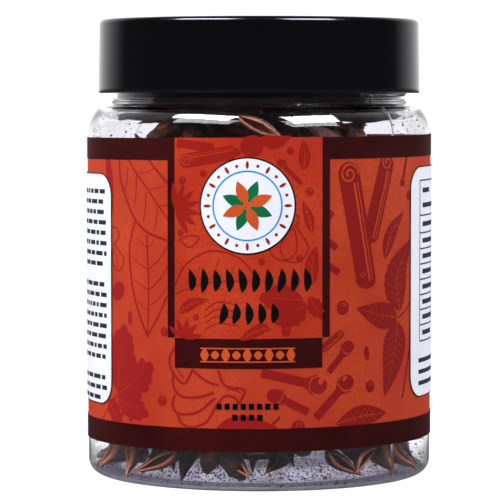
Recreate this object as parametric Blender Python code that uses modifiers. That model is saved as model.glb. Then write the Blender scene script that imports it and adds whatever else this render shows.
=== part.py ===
"""Jar of whole star anise: clear jar, screw lid, wrap-round label and the heap of pods inside.

Metres, +Z up. The origin is the middle of the jar's foot, and the label's front faces -Y.
"""

from math import cos, pi, radians, sin, tau

import bmesh
import bpy
import numpy as np

MM = 0.001

# Driving dimensions, in millimetres and degrees
BODY_RADIUS = 39.75
BODY_TOP = 78.0
WALL = 0.8
HEEL_RADIUS = 3.4
FOOT_INNER_RADIUS = 30.5
PUSH_UP_HEIGHT = 4.0
PUSH_UP_RADIUS = 24.0
NECK_RADIUS = 34.0
LEDGE_RADIUS = 35.8
LEDGE_HEIGHT = 85.3
RIM_HEIGHT = 103.3
BEAD_HEIGHT = 0.5
BEAD_DEPTH = 0.35

THREAD_RADIUS = 0.8
THREAD_PITCH = 4.5
THREAD_TURNS = 1.4
THREAD_START_HEIGHT = 88.0
THREAD_START_ANGLE = 44.0
THREAD_PROUD_SHARE = 0.35

LID_RADIUS = 37.3
LID_TAPER = 0.25
LID_BOTTOM = 88.3
LID_TOP = 105.3
LID_WALL = 1.5
LID_EDGE_RADIUS = 1.2

LABEL_BOTTOM = 9.1
LABEL_TOP = 78.5
LABEL_THICKNESS = 0.2
LABEL_GAP = 0.3
LABEL_WRAP = 352.0
LABEL_TURN = -3.9
LABEL_CLIMB = 0.4

HEAP_GAP = 0.5
HEAP_SHOULDER = 81.0
HEAP_CROWN = 87.5
POD_COUNT = 74
POD_RADIUS = 13.0
POD_ARMS = 8
HEAP_RELIEF = 3.0
HEAP_FIRST_SHARE = 0.04
HEAP_LAST_SHARE = 0.98
CROWN_START_ANGLE = 15.0
LUMP_STEEPNESS = 1.5
GOLDEN_ANGLE = pi * (3.0 - 5.0**0.5)

SEGMENTS = 48
HEAP_RINGS = 32


def clear_scene():
    """Start from nothing, whatever the file held."""
    for thing in list(bpy.data.objects):
        bpy.data.objects.remove(thing, do_unlink=True)


def collection(name):
    """A named collection in the scene."""
    group = bpy.data.collections.new(name)
    bpy.context.scene.collection.children.link(group)
    return group


def material(name, colour, roughness, alpha=1.0, transmission=0.0):
    """A Principled finish."""
    finish = bpy.data.materials.new(name)
    finish.use_nodes = True
    shader = finish.node_tree.nodes["Principled BSDF"]
    shader.inputs["Base Color"].default_value = (*colour, 1.0)
    shader.inputs["Roughness"].default_value = roughness
    shader.inputs["Metallic"].default_value = 0.0
    shader.inputs["Alpha"].default_value = alpha
    shader.inputs["Transmission Weight"].default_value = transmission
    finish.diffuse_color = (*colour, alpha)
    return finish


def arc(centre, radii, start, end, count):
    """Points of an elliptical arc; angles in degrees, 0 outward and 90 up."""
    turns = np.radians(np.linspace(start, end, count))
    return [(centre[0] + radii[0] * cos(a), centre[1] + radii[1] * sin(a)) for a in turns]


def jar_profile():
    """The jar's outer side as (radius, height) points, from the rim down to the foot's middle."""
    neck = [(NECK_RADIUS, RIM_HEIGHT), (NECK_RADIUS, LEDGE_HEIGHT + 3.0 * BEAD_HEIGHT)]
    bead = [
        (NECK_RADIUS + BEAD_DEPTH, LEDGE_HEIGHT + 2.0 * BEAD_HEIGHT),
        (NECK_RADIUS, LEDGE_HEIGHT + BEAD_HEIGHT),
    ]
    shoulder = arc(
        (LEDGE_RADIUS, BODY_TOP), (BODY_RADIUS - LEDGE_RADIUS, LEDGE_HEIGHT - BODY_TOP), 90, 0, 6
    )
    heel = arc((BODY_RADIUS - HEEL_RADIUS, HEEL_RADIUS), (HEEL_RADIUS, HEEL_RADIUS), 0, -90, 6)
    push_up = arc(
        (PUSH_UP_RADIUS, 0.0), (FOOT_INNER_RADIUS - PUSH_UP_RADIUS, PUSH_UP_HEIGHT), 0, 90, 4
    )
    return neck + bead + shoulder + heel + push_up + [(0.0, PUSH_UP_HEIGHT)]


def lid_profile():
    """The lid's outer side, from the middle of its top out and down to its open rim."""
    top_radius = LID_RADIUS - LID_TAPER
    centre = (top_radius - LID_EDGE_RADIUS, LID_TOP - LID_EDGE_RADIUS)
    edge = arc(centre, (LID_EDGE_RADIUS, LID_EDGE_RADIUS), 90, 0, 5)
    return [(0.0, LID_TOP)] + edge + [(LID_RADIUS, LID_BOTTOM)]


def turned(name, profile, group, finish, wall=0.0, angle=360.0, climb=0.0, start=0.0):
    """A profile turned about Z, with a wall thickened inwards where one is given."""
    mesh = bpy.data.meshes.new(name)
    points = [(x * MM, 0.0, z * MM) for x, z in profile]
    mesh.from_pydata(points, [(i, i + 1) for i in range(len(points) - 1)], [])
    thing = bpy.data.objects.new(name, mesh)
    group.objects.link(thing)
    thing.rotation_euler.z = radians(start)
    screw = thing.modifiers.new("Turn", "SCREW")
    screw.angle = radians(angle)
    screw.screw_offset = climb * MM
    screw.steps = SEGMENTS
    screw.render_steps = SEGMENTS
    screw.use_merge_vertices = angle == 360.0
    screw.merge_threshold = 0.00001
    if wall:
        shell = thing.modifiers.new("Wall", "SOLIDIFY")
        shell.thickness = wall * MM
        shell.offset = -1.0
        shell.use_even_offset = True
    mesh.materials.append(finish)
    return thing


def thread(group):
    """The bead that the lid screws on: a helix round the neck, half sunk in its wall."""
    curve = bpy.data.curves.new("thread_path", "CURVE")
    curve.dimensions = "3D"
    curve.bevel_depth = THREAD_RADIUS * MM
    curve.bevel_resolution = 2
    curve.use_fill_caps = True
    count = int(SEGMENTS * THREAD_TURNS) + 1
    spline = curve.splines.new("POLY")
    spline.points.add(count - 1)
    radius = NECK_RADIUS + THREAD_PROUD_SHARE * THREAD_RADIUS
    for i, point in enumerate(spline.points):
        turn = i / SEGMENTS
        angle = radians(THREAD_START_ANGLE - 90.0) + tau * turn
        height = THREAD_START_HEIGHT + THREAD_PITCH * turn
        point.co = (radius * cos(angle) * MM, radius * sin(angle) * MM, height * MM, 1.0)
    path = bpy.data.objects.new("thread_path", curve)
    group.objects.link(path)
    depsgraph = bpy.context.evaluated_depsgraph_get()
    mesh = bpy.data.meshes.new_from_object(path.evaluated_get(depsgraph))
    shape = bmesh.new()
    shape.from_mesh(mesh)
    bmesh.ops.remove_doubles(shape, verts=shape.verts, dist=0.00001)
    shape.to_mesh(mesh)
    shape.free()
    bead = bpy.data.objects.new("thread_bead", mesh)
    bead.matrix_world = path.matrix_world
    group.objects.link(bead)
    bpy.data.objects.remove(path, do_unlink=True)
    bead.hide_render = True
    bead.display_type = "WIRE"
    return bead


def join(thing, added):
    """Grow one solid onto another."""
    union = thing.modifiers.new("Join", "BOOLEAN")
    union.operation = "UNION"
    union.solver = "EXACT"
    union.object = added


def heap_outline(share):
    """Radius, height and outward normal of the heap's smooth outline.

    share runs from 0 at the middle of the foot to 1 at the middle of the crown, by length.
    """
    outer = np.array(jar_profile()[::-1])
    wall_part = outer[outer[:, 1] < HEAP_SHOULDER]
    step = np.gradient(wall_part, axis=0)
    step /= np.linalg.norm(step, axis=1)[:, None]
    inward = np.stack([-step[:, 1], step[:, 0]], axis=1)
    inner = wall_part + inward * (WALL + HEAP_GAP)
    inner[:, 0] = np.maximum(inner[:, 0], 0.0)
    inner[0, 0] = 0.0
    crown_angles = np.radians(np.linspace(CROWN_START_ANGLE, 90.0, 8))
    edge = inner[-1]
    crown_rise = edge[1] + (HEAP_CROWN - edge[1]) * np.sin(crown_angles)
    crown = np.stack([edge[0] * np.cos(crown_angles), crown_rise], axis=1)
    points = np.concatenate([inner, crown])
    lengths = np.concatenate([[0.0], np.cumsum(np.linalg.norm(np.diff(points, axis=0), axis=1))])
    place = share * lengths[-1]
    radius = np.interp(place, lengths, points[:, 0])
    height = np.interp(place, lengths, points[:, 1])
    ends = [
        np.stack([np.interp(place + shift, lengths, points[:, axis]) for axis in (0, 1)], axis=1)
        for shift in (-0.5, 0.5)
    ]
    along = ends[1] - ends[0]
    along /= np.linalg.norm(along, axis=1)[:, None]
    return radius, height, np.stack([along[:, 1], -along[:, 0]], axis=1), lengths[-1]


def star_relief(share, angle):
    """How proud the heap stands, 0 to 1: eight-armed pods laid over it in a spiral."""
    radius, _, _, length = heap_outline(share)
    relief = np.zeros(len(share))
    for pod in range(POD_COUNT):
        step = (pod + 0.5) / POD_COUNT
        pod_share = HEAP_FIRST_SHARE + (HEAP_LAST_SHARE - HEAP_FIRST_SHARE) * step
        pod_angle = pod * GOLDEN_ANGLE
        turn = (angle - pod_angle + pi) % tau - pi
        across = turn * radius
        along = (share - pod_share) * length
        distance = np.hypot(across, along)
        arm = np.abs(np.cos(0.5 * POD_ARMS * (np.arctan2(along, across) + pod_angle)))
        reach = POD_RADIUS * (0.5 + 0.5 * arm**2)
        relief = np.maximum(relief, np.clip(LUMP_STEEPNESS * (1.0 - distance / reach), 0.0, 1.0))
    return relief


def star_anise_heap(group, finish):
    """The pods as one solid: it fills the jar to the shoulder, with star-shaped lumps all over."""
    shape = bmesh.new()
    bmesh.ops.create_uvsphere(shape, u_segments=SEGMENTS, v_segments=HEAP_RINGS, radius=1.0)
    mesh = bpy.data.meshes.new("star_anise")
    shape.to_mesh(mesh)
    shape.free()
    ball = np.empty(len(mesh.vertices) * 3)
    mesh.vertices.foreach_get("co", ball)
    ball = ball.reshape(-1, 3)
    share = np.arccos(np.clip(-ball[:, 2], -1.0, 1.0)) / pi
    angle = np.arctan2(ball[:, 1], ball[:, 0])
    on_axis = np.hypot(ball[:, 0], ball[:, 1]) < 0.0001
    radius, height, normal, _ = heap_outline(share)
    sunk = HEAP_RELIEF * (1.0 - star_relief(share, angle))
    radius = np.maximum(radius - sunk * normal[:, 0], 0.0)
    height = height - sunk * normal[:, 1]
    radius[on_axis] = 0.0
    places = np.stack([radius * np.cos(angle), radius * np.sin(angle), height], axis=1) * MM
    mesh.vertices.foreach_set("co", places.ravel())
    mesh.materials.append(finish)
    mesh.shade_smooth()
    thing = bpy.data.objects.new("star_anise", mesh)
    group.objects.link(thing)
    return thing


def main():
    """Jar, lid, label and filling, each its own solid."""
    clear_scene()
    parts = collection("star_anise_jar")
    cutters = collection("guides")
    clear_plastic = material("clear_plastic", (0.93, 0.93, 0.95), 0.05, alpha=0.35, transmission=0.9)
    black_plastic = material("black_plastic", (0.004, 0.004, 0.005), 0.35)
    printed_film = material("printed_film", (0.52, 0.06, 0.025), 0.4)
    dried_pod = material("dried_pod", (0.09, 0.035, 0.018), 0.6)

    jar = turned("jar", jar_profile(), parts, clear_plastic, wall=WALL)
    join(jar, thread(cutters))
    turned("lid", lid_profile(), parts, black_plastic, wall=LID_WALL)

    label_radius = BODY_RADIUS + LABEL_GAP + LABEL_THICKNESS
    climb = tau * label_radius * LABEL_WRAP / 360.0 * sin(radians(LABEL_CLIMB))
    low = LABEL_BOTTOM - 0.5 * climb
    high = LABEL_TOP - 0.5 * climb
    turned(
        "label",
        [(label_radius, high), (label_radius, low)],
        parts,
        printed_film,
        wall=LABEL_THICKNESS,
        angle=LABEL_WRAP,
        climb=climb,
        start=LABEL_TURN - 0.5 * LABEL_WRAP - 90.0,
    )
    star_anise_heap(parts, dried_pod)


main()
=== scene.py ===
# %% [markdown]
# # A jar of whole star anise
# This notebook dresses the measured solids of a spice jar: clear plastic, a black screw lid,
# a printed label and the dried stars inside. Everything is in metres on the shared frame,
# and lengths are written in millimetres and multiplied by MM where a mesh is made.

import bmesh
import bpy
import numpy as np
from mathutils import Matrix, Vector


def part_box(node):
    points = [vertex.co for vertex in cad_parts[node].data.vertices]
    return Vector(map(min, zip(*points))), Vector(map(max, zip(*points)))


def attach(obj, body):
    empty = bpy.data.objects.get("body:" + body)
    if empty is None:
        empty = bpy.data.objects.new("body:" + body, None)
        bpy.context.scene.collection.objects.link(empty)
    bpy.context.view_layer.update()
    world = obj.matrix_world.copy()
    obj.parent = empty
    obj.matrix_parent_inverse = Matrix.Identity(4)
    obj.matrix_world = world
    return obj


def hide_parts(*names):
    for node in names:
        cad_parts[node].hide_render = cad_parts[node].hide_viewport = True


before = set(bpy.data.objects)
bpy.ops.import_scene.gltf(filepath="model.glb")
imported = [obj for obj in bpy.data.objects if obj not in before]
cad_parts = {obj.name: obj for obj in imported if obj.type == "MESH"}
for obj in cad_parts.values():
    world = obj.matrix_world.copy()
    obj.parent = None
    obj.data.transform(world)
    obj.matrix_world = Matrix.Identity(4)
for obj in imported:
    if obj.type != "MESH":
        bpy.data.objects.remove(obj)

MM = 0.001
TAU = 2.0 * np.pi
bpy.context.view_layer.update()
jar_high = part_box("jar")[1]
lid_low, lid_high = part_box("lid")
BODY_RADIUS = float(jar_high[0]) / MM
RIM_HEIGHT = float(jar_high[2]) / MM
LID_RADIUS = float(lid_high[0]) / MM
LID_BOTTOM = round(float(lid_low[2]) / MM, 1)
LID_TOP = float(lid_high[2]) / MM
print("body radius", BODY_RADIUS, "rim", RIM_HEIGHT, "lid", LID_RADIUS, LID_BOTTOM, LID_TOP)


# %% [markdown]
# ## Helpers
# A surface here is a grid: two parameters, one point for each pair. The same few lines turn any
# grid into quads, so every piece is described by its formula and never by a list of faces.
# Poles and seams fall on themselves, and merging the doubles closes them.

# %% Grids to meshes
def quads(rows, columns, wrap_rows=False, wrap_columns=False):
    """Corners of each cell of a grid, counted row by row; a wrapped side joins last to first."""
    i = np.arange(rows if wrap_rows else rows - 1)
    j = np.arange(columns if wrap_columns else columns - 1)
    i, j = np.meshgrid(i, j, indexing="ij")
    after_i, after_j = (i + 1) % rows, (j + 1) % columns
    corners = [(i, j), (after_i, j), (after_i, after_j), (i, after_j)]
    return np.stack([row * columns + column for row, column in corners], axis=-1).reshape(-1, 4)


def repeat_faces(faces, copies, size):
    """The same faces for each of many copies, every copy size points further on."""
    return (faces[None] + (np.arange(copies) * size)[:, None, None]).reshape(-1, faces.shape[1])


def piece(name, points, faces, material, weld=0.0, marks=None):
    """A mesh object at the origin from points in millimetres, with point attributes in marks."""
    mesh = bpy.data.meshes.new(name)
    points = np.asarray(points, dtype=np.float64).reshape(-1, 3) * MM
    faces = np.asarray(faces, dtype=np.int32)
    mesh.vertices.add(len(points))
    mesh.vertices.foreach_set("co", points.ravel())
    mesh.loops.add(faces.size)
    mesh.loops.foreach_set("vertex_index", faces.ravel())
    mesh.polygons.add(len(faces))
    mesh.polygons.foreach_set("loop_start", np.arange(0, faces.size, faces.shape[1], dtype=np.int32))
    mesh.update(calc_edges=True)
    for mark, values in (marks or {}).items():
        layer = mesh.attributes.new(mark, "FLOAT", "POINT")
        layer.data.foreach_set("value", np.asarray(values, dtype=np.float32).ravel())
    if weld:
        shape = bmesh.new()
        shape.from_mesh(mesh)
        bmesh.ops.remove_doubles(shape, verts=shape.verts, dist=weld * MM)
        shape.to_mesh(mesh)
        shape.free()
    mesh.validate()
    mesh.shade_smooth()
    mesh.materials.append(material)
    thing = bpy.data.objects.new(name, mesh)
    bpy.context.scene.collection.objects.link(thing)
    triangles = sum(len(face.vertices) - 2 for face in mesh.polygons)
    print(f"{name}: {triangles} triangles")
    return thing


def around_axis(radius, angle, height):
    """Points at a distance from Z, at an angle from the front, and at a height."""
    spots = np.broadcast_arrays(radius * np.sin(angle), -radius * np.cos(angle), height)
    return np.stack(spots, axis=-1)


def lathe(profile, angles):
    """Turn (radius, height) points about Z: one row for each angle, one column for each point."""
    return around_axis(profile[None, :, 0], angles[:, None], profile[None, :, 1])


def ellipse_arc(centre, radii, start, end, count):
    """Points (centre + radii times cosine and sine) between two angles in degrees."""
    turn = np.radians(np.linspace(start, end, count))
    return np.stack([centre[0] + radii[0] * np.cos(turn), centre[1] + radii[1] * np.sin(turn)], axis=1)


def line(start, end, count):
    """Evenly spaced points of a straight stretch, without its last point."""
    share = np.linspace(0.0, 1.0, count, endpoint=False)[:, None]
    return np.array(start) * (1.0 - share) + np.array(end) * share


# %% [markdown]
# ## Finishes
# Every finish is a Principled shader with a few nodes for what varies: noise for print grain,
# attributes for the parts of a pod. Colours are written as screen values and turned to linear.

# %% Node helpers
def linear(red, green, blue):
    """Screen colour, 0 to 255, to the linear light that shaders use."""
    c = np.array([red, green, blue]) / 255.0
    c = np.where(c <= 0.04045, c / 12.92, ((c + 0.055) / 1.055) ** 2.4)
    return (*c.tolist(), 1.0)


def finish(name, roughness=0.5, **sockets):
    """A new material; sockets are set by name, with _ for a space. Returns it and its tree parts."""
    material = bpy.data.materials.new(name)
    material.use_nodes = True
    nodes, links = material.node_tree.nodes, material.node_tree.links
    shader = nodes["Principled BSDF"]
    shader.inputs["Roughness"].default_value = roughness
    for socket, value in sockets.items():
        shader.inputs[socket.replace("_", " ")].default_value = value
    return material, nodes, links, shader


def noise(nodes, links, scale, detail=3.0, roughness=0.55):
    """Noise on Object coordinates; scale is in features a metre."""
    place = nodes.new("ShaderNodeTexCoord")
    texture = nodes.new("ShaderNodeTexNoise")
    texture.inputs["Scale"].default_value = scale
    texture.inputs["Detail"].default_value = detail
    texture.inputs["Roughness"].default_value = roughness
    links.new(place.outputs["Object"], texture.inputs["Vector"])
    return texture.outputs["Fac"]


def ramp(nodes, links, source, stops):
    """Colours at places along a factor."""
    node = nodes.new("ShaderNodeValToRGB")
    steps = node.color_ramp.elements
    while len(steps) < len(stops):
        steps.new(0.5)
    for step, (place, colour) in zip(steps, stops):
        step.position = place
        step.color = colour
    links.new(source, node.inputs["Fac"])
    return node.outputs["Color"]


def mask(nodes, links, source, start, end, most=1.0):
    """Black up to the start place of a factor, then rising to a grey of most at the end place."""
    return ramp(nodes, links, source, [(start, (0, 0, 0, 1)), (end, (most, most, most, 1))])


def feed(links, socket, value):
    """Give a socket its value, which is another socket or a constant."""
    if isinstance(value, bpy.types.NodeSocket):
        links.new(value, socket)
    else:
        socket.default_value = value


def blend(nodes, links, factor, first, second):
    """Mix two colours; each may be a socket or a constant."""
    node = nodes.new("ShaderNodeMix")
    node.data_type = "RGBA"
    for number, value in ((0, factor), (6, first), (7, second)):
        feed(links, node.inputs[number], value)
    return node.outputs[2]


def reckon(nodes, links, operation, *values):
    """One sum of a Math node; each value may be a socket or a number."""
    node = nodes.new("ShaderNodeMath")
    node.operation = operation
    for socket, value in zip(node.inputs, values):
        feed(links, socket, value)
    return node.outputs[0]


def slope(nodes, links, source, start, end, low=0.0, high=1.0):
    """A straight change from low to high while the source goes from start to end, held outside."""
    node = nodes.new("ShaderNodeMapRange")
    for socket, value in (("From Min", start), ("From Max", end), ("To Min", low), ("To Max", high)):
        node.inputs[socket].default_value = value
    links.new(source, node.inputs["Value"])
    return node.outputs["Result"]


def axis_of(nodes, links, space, axis):
    """One axis of a texture coordinate, such as X of Object."""
    place = nodes.new("ShaderNodeTexCoord")
    parts = nodes.new("ShaderNodeSeparateXYZ")
    links.new(place.outputs[space], parts.inputs[0])
    return parts.outputs[axis]


def mark(nodes, name):
    """The value of a point attribute."""
    node = nodes.new("ShaderNodeAttribute")
    node.attribute_name = name
    return node.outputs["Fac"]


def bump(nodes, links, shader, height, distance, strength=0.6):
    """Fine relief from a height socket; distance in millimetres."""
    node = nodes.new("ShaderNodeBump")
    node.inputs["Strength"].default_value = strength
    node.inputs["Distance"].default_value = distance * MM
    links.new(height, node.inputs["Height"])
    links.new(node.outputs["Normal"], shader.inputs["Normal"])


# %% [markdown]
# ## The clear jar
# The jar is blown from one sheet of clear plastic: a foot ring round a pushed-up base, a round
# heel, a straight body, a shoulder, a ledge and a neck with one screw thread. It could be a
# stack of rings joined by hand, but a turned profile keeps each radius in one place. The thread
# and the mould's parting line aren't round, so they are added to the radius as small ridges.

# %% Jar profile
WALL = 0.8
HEEL_RADIUS = 3.4
FOOT_INNER = 30.5
PUSH_UP = 4.0
PUSH_UP_RADIUS = 24.0
NECK_RADIUS = 34.0
LEDGE_RADIUS = 35.8
LEDGE_HEIGHT = 85.3
LEDGE_CORNER = 0.5
RIM_ROUND = 0.4
BODY_TOP = 78.0
BEAD, BEAD_HEIGHT, BEAD_WIDTH = 0.35, 86.3, 0.28


def jar_side(inset, foot_inset, fine):
    """The jar's side inset from its outer face, from the middle of the foot up to the rim."""
    shoulder_radii = (BODY_RADIUS - LEDGE_RADIUS, LEDGE_HEIGHT - BODY_TOP - inset)
    heel_centre = (BODY_RADIUS - HEEL_RADIUS, HEEL_RADIUS)
    heel_radii = (HEEL_RADIUS - inset, HEEL_RADIUS - foot_inset)
    rise = (FOOT_INNER - PUSH_UP_RADIUS + inset, PUSH_UP)
    foot = [
        line((0.0, PUSH_UP + foot_inset), (PUSH_UP_RADIUS - inset, PUSH_UP + foot_inset), 8 * fine),
        ellipse_arc((PUSH_UP_RADIUS - inset, foot_inset), rise, 90, 0, 8 * fine)[:-1],
        line((FOOT_INNER, foot_inset), (heel_centre[0], foot_inset), 3 * fine),
        ellipse_arc(heel_centre, heel_radii, -90, 0, 10 * fine)[:-1],
    ]
    ledge, neck = LEDGE_HEIGHT - inset, NECK_RADIUS - inset
    corner = (neck + LEDGE_CORNER, ledge + LEDGE_CORNER)
    side = [
        line((BODY_RADIUS - inset, HEEL_RADIUS), (BODY_RADIUS - inset, BODY_TOP), 10 * fine),
        ellipse_arc((LEDGE_RADIUS - inset, BODY_TOP), shoulder_radii, 0, 90, 12 * fine)[:-1],
        line((LEDGE_RADIUS - inset, ledge), (neck + LEDGE_CORNER, ledge), 2 * fine),
        ellipse_arc(corner, (LEDGE_CORNER, LEDGE_CORNER), 270, 180, 3 * fine)[:-1],
        line((neck, ledge + LEDGE_CORNER), (neck, RIM_HEIGHT - RIM_ROUND), 36 * fine),
    ]
    return np.concatenate(foot + side)


PARTING_ANGLES = np.radians([49.0, 229.0])
THREAD_START = np.radians(44.0)
THREAD_HEIGHT = 88.0
THREAD_PITCH = 4.5
THREAD_TURNS = 1.4
THREAD_WIDTH = 0.4
THREAD_DEPTH = 0.5
THREAD_FADE_IN, THREAD_FADE_OUT = 0.07, 0.2
PARTING_RISE, PARTING_WIDTH = 0.15, 0.18


def ridges(angle, height):
    """Height of the bead, the screw thread and the two parting lines above the turned face.

    Each is a bell curve: of height for the bead, of height less the climbing helix for the
    thread, and of the arc's length from the line for a parting line.
    """
    bead = BEAD * np.exp(-(((height - BEAD_HEIGHT) / BEAD_WIDTH) ** 2))
    turned = (angle - THREAD_START) % TAU
    thread = np.zeros(np.broadcast(angle, height).shape)
    for lap in range(2):
        turn = turned + TAU * lap
        middle = THREAD_HEIGHT + THREAD_PITCH * turn / TAU
        ends = np.clip(turn / THREAD_FADE_IN, 0.0, 1.0)
        ends = ends * np.clip((THREAD_TURNS * TAU - turn) / THREAD_FADE_OUT, 0.0, 1.0)
        thread = thread + THREAD_DEPTH * ends * np.exp(-(((height - middle) / THREAD_WIDTH) ** 4))
    seam = np.zeros_like(thread)
    for line_angle in PARTING_ANGLES:
        away = BODY_RADIUS * ((angle - line_angle + np.pi) % TAU - np.pi)
        seam = seam + PARTING_RISE * np.exp(-((away / PARTING_WIDTH) ** 2))
    return np.where(height > LEDGE_HEIGHT + 0.3, bead + thread, 0.0) + seam * (height > 1.5)


# %% Jar mesh
even = np.linspace(0.0, TAU, 216, endpoint=False)
close = np.linspace(-0.016, 0.016, 11)
jar_angles = np.sort(np.concatenate([even] + [a + close for a in PARTING_ANGLES]))
outer = jar_side(0.0, 0.0, 2)
inner = jar_side(WALL, WALL, 1)
rim_middle = (NECK_RADIUS - 0.5 * WALL, RIM_HEIGHT - RIM_ROUND)
rim = ellipse_arc(rim_middle, (0.5 * WALL, RIM_ROUND), 0, 180, 9)
outer_grid = lathe(outer, jar_angles)
relief = ridges(jar_angles[:, None], outer[None, :, 1])
radial = around_axis(1.0, jar_angles, 0.0)
outer_grid = outer_grid + relief[..., None] * radial[:, None]
jar_grid = np.concatenate([outer_grid, lathe(rim, jar_angles), lathe(inner, jar_angles)[:, ::-1]], axis=1)
jar_faces = quads(*jar_grid.shape[:2], wrap_rows=True)

clear_plastic, nodes, links, shader = finish(
    "clear_plastic",
    roughness=0.03,
    Base_Color=(0.965, 0.965, 1.0, 1.0),
    IOR=1.5,
    Transmission_Weight=1.0,
)
output = nodes["Material Output"]
rays = nodes.new("ShaderNodeLightPath")
through = nodes.new("ShaderNodeBsdfTransparent")
through.inputs["Color"].default_value = (0.93, 0.93, 0.95, 1.0)
choice = nodes.new("ShaderNodeMixShader")
links.new(rays.outputs["Is Shadow Ray"], choice.inputs[0])
links.new(shader.outputs[0], choice.inputs[1])
links.new(through.outputs[0], choice.inputs[2])
links.new(choice.outputs[0], output.inputs["Surface"])

jar = piece("clear_jar", jar_grid, jar_faces, clear_plastic, weld=0.0005)
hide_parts("jar")
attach(jar, "root")


# %% [markdown]
# ## The lid
# The lid is a moulded black cap with a plain side that leans in a little, a rounded top edge and
# an open underside. A cylinder with a bevel would do from afar; a turned profile also gives the
# inner wall and the lip that shows against the clear neck.

# %% Lid
LID_WALL = 1.5
LID_TAPER = 0.25
LID_EDGE = 1.2
LIP_ROUND = 0.35


def lid_side():
    """The lid's outer face from the middle of its top down to the lip, then back up inside."""
    top = LID_RADIUS - LID_TAPER
    inside = LID_RADIUS - LID_WALL
    lip = (LID_RADIUS - LIP_ROUND, LID_BOTTOM + LIP_ROUND)
    return np.concatenate([
        line((0.0, LID_TOP), (top - LID_EDGE, LID_TOP), 14),
        ellipse_arc((top - LID_EDGE, LID_TOP - LID_EDGE), (LID_EDGE, LID_EDGE), 90, 0, 12)[:-1],
        line((top, LID_TOP - LID_EDGE), (LID_RADIUS, lip[1]), 18),
        ellipse_arc(lip, (LIP_ROUND, LIP_ROUND), 0, -90, 6)[:-1],
        line((lip[0], LID_BOTTOM), (inside, LID_BOTTOM), 3),
        line((inside, LID_BOTTOM), (inside, LID_TOP - LID_WALL), 10),
        line((inside, LID_TOP - LID_WALL), (0.0, LID_TOP - LID_WALL), 8),
        np.array([(0.0, LID_TOP - LID_WALL)]),
    ])


black_plastic, nodes, links, shader = finish(
    "black_plastic",
    roughness=0.16,
    Base_Color=linear(6, 6, 7),
    Specular_IOR_Level=0.5,
    Specular_Tint=linear(228, 232, 255),
)
grain = noise(nodes, links, 2600.0, detail=2.0)
bump(nodes, links, shader, grain, 0.01, 0.1)

lid_profile = lid_side()
lid_angles = np.linspace(0.0, TAU, 192, endpoint=False)
lid_grid = lathe(lid_profile, lid_angles)[:, ::-1]
lid = piece("screw_lid", lid_grid, quads(*lid_grid.shape[:2], wrap_rows=True), black_plastic, weld=0.0005)
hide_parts("lid")
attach(lid, "root")


# %% [markdown]
# ## The label: film and wrap
# The label is one strip of printed film wrapped round the body, a little crooked, with a narrow gap
# at the back. Its print could be an image laid over it, but an image blurs when it is seen close
# to. Here each field of colour is a thin sheet of its own, cut as a flat shape and bent round the
# jar, each a few hundredths of a millimetre above the one below.

# %% Wrap
FILM_RADIUS = BODY_RADIUS + 0.14
FLAT_RADIUS = 40.0
LABEL_TURN = np.radians(-3.7)
LABEL_CLIMB = np.tan(np.radians(0.4))
LABEL_LOW, LABEL_HIGH = 9.1, 78.5
LABEL_WRAP = np.radians(352.0)
BAND, LOW_BAND = 4.9, 5.2
LAYER = 0.012


def wrap(flat, layer):
    """Bend flat (along, up) points round the jar: along becomes an angle, and up climbs with it."""
    angle = LABEL_TURN + flat[..., 0] / FLAT_RADIUS
    radius = FILM_RADIUS + LAYER * layer
    height = flat[..., 1] + flat[..., 0] * LABEL_CLIMB
    return around_axis(radius, angle, height)


class Sheet:
    """One colour of the print: flat patches gathered up, then wrapped and made one mesh."""

    def __init__(self, layer, spread=0):
        self.layer, self.spread = layer, spread
        self.points, self.faces, self.count, self.patches = [], [], 0, 0

    def add(self, flat, closed=False):
        """Add a grid of flat points; faces are turned so that they look outwards."""
        rows, columns = flat.shape[:2]
        faces = quads(rows, columns, wrap_columns=closed)
        a, b, c = (flat.reshape(-1, 2)[faces[:, k]] for k in (0, 1, 2))
        ab, ac = (b - a).T, (c - a).T
        if (ab[0] * ac[1] - ab[1] * ac[0]).sum() < 0.0:
            faces = faces[:, ::-1]
        lift = (self.patches % self.spread) if self.spread else 0
        self.points.append(wrap(flat, self.layer + 0.5 * lift).reshape(-1, 3))
        self.faces.append(faces + self.count)
        self.count += rows * columns
        self.patches += 1

    def build(self, name, material):
        """One mesh object of every patch."""
        sheet = piece(name, np.concatenate(self.points), np.concatenate(self.faces), material, weld=0.0002)
        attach(sheet, "root")
        return sheet


# %% [markdown]
# ### Flat shapes
# Four kinds of patch draw the whole print: a rectangle with round corners, an egg, a ribbon along
# a smooth line, and a leaf, which is a ribbon whose width swells and shrinks to a point.

# %% Patches
def block(left, right, low, high, corner=0.0):
    """A rectangle whose top and bottom edges drop in quarter circles near round corners."""
    count = max(3, int((right - left) / 1.1) + 1)
    along = np.linspace(left, right, count)
    if corner:
        bend = corner * (1.0 - np.cos(np.linspace(0.0, np.pi / 2, 9)))
        middle = along[(along > left + corner) & (along < right - corner)]
        along = np.concatenate([left + bend, middle, right - bend[::-1]])
    edge = np.clip(np.minimum(along - left, right - along), 0.0, corner or 1.0)
    drop = corner - np.sqrt(np.clip(corner**2 - (corner - edge) ** 2, 0.0, None)) if corner else 0.0 * along
    share = np.linspace(0.0, 1.0, 3)[None]
    up = (low + drop)[:, None] * (1.0 - share) + (high - drop)[:, None] * share
    return np.stack([np.broadcast_to(along[:, None], up.shape), up], axis=-1)


def egg_shape(middle, wide, tall, tilt=0.0, count=28):
    """Rings from the middle out: an ellipse turned by tilt degrees."""
    turn = np.linspace(0.0, TAU, count, endpoint=False)[None]
    reach = np.linspace(0.0, 1.0, 4)[:, None]
    a, b = wide * reach * np.cos(turn), tall * reach * np.sin(turn)
    c, s = np.cos(np.radians(tilt)), np.sin(np.radians(tilt))
    return np.stack([middle[0] + a * c - b * s, middle[1] + a * s + b * c], axis=-1)


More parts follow.
